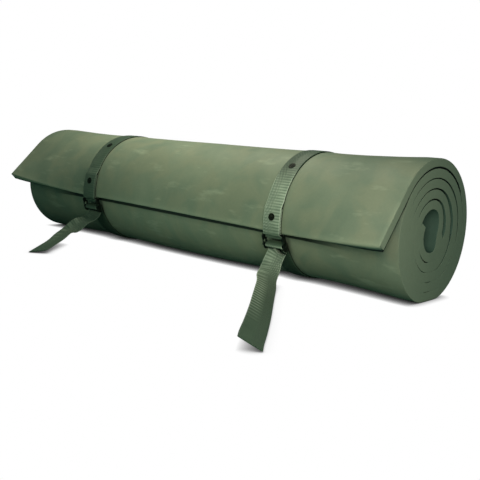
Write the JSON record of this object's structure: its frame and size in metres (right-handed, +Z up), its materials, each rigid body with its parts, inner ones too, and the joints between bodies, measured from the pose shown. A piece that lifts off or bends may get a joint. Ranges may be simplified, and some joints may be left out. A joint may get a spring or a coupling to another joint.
{
  "type": "rolled sleeping mat",
  "caption": "Closed-cell foam sleeping mat, rolled and held by two webbing straps with slide-bar buckles, for sleeping outdoors.",
  "frame": {"origin": "on the surface the roll stands on, at mid-length, straight below the roll's axis, on the flat of the foam", "axes": "+X along the roll towards its near end, +Y towards the back, +Z up; the flap's edge, the buckles and the loose strap ends are on the -Y side"},
  "size_m": [0.6082, 0.3477, 0.1419],
  "materials": {
    "foam": "matte closed-cell foam, olive drab",
    "webbing": "woven, dull green",
    "blackened_steel": "satin black",
    "blackened_brass": "satin, blackened"
  },
  "bodies": {
    "mat": {"foam_mat": "foam", "near_strap": "webbing", "far_strap": "webbing", "near_lower_eyelet": "blackened_brass", "near_upper_eyelet": "blackened_brass", "far_lower_eyelet": "blackened_brass", "far_upper_eyelet": "blackened_brass", "near_lower_washer": "blackened_brass", "near_upper_washer": "blackened_brass", "far_lower_washer": "blackened_brass", "far_upper_washer": "blackened_brass"},
    "near_buckle": {"near_buckle_frame": "blackened_steel"},
    "far_buckle": {"far_buckle_frame": "blackened_steel"},
    "near_bar": {"near_slide_bar": "blackened_steel"},
    "far_bar": {"far_slide_bar": "blackened_steel"}
  },
  "joints": [
    {"name": "near_buckle_tilt", "type": "hinge", "parent": "mat", "child": "near_buckle", "pos_m": [0.1565, -0.06955, 0.05123], "axis": [-1, 0, 0], "range_deg": [0, 20], "deforming": ["near_strap"]},
    {"name": "near_bar_slide", "type": "slide", "parent": "near_buckle", "child": "near_bar", "axis": [0, -0.3737, 0.9275], "range_m": [0, 0.004], "deforming": ["near_strap"]},
    {"name": "far_buckle_tilt", "type": "hinge", "parent": "mat", "child": "far_buckle", "pos_m": [-0.15, -0.07051, 0.05647], "axis": [-1, 0, 0], "range_deg": [0, 20], "deforming": ["far_strap"]},
    {"name": "far_bar_slide", "type": "slide", "parent": "far_buckle", "child": "far_bar", "axis": [0, -0.3034, 0.9529], "range_m": [0, 0.004], "deforming": ["far_strap"]}
  ]
}
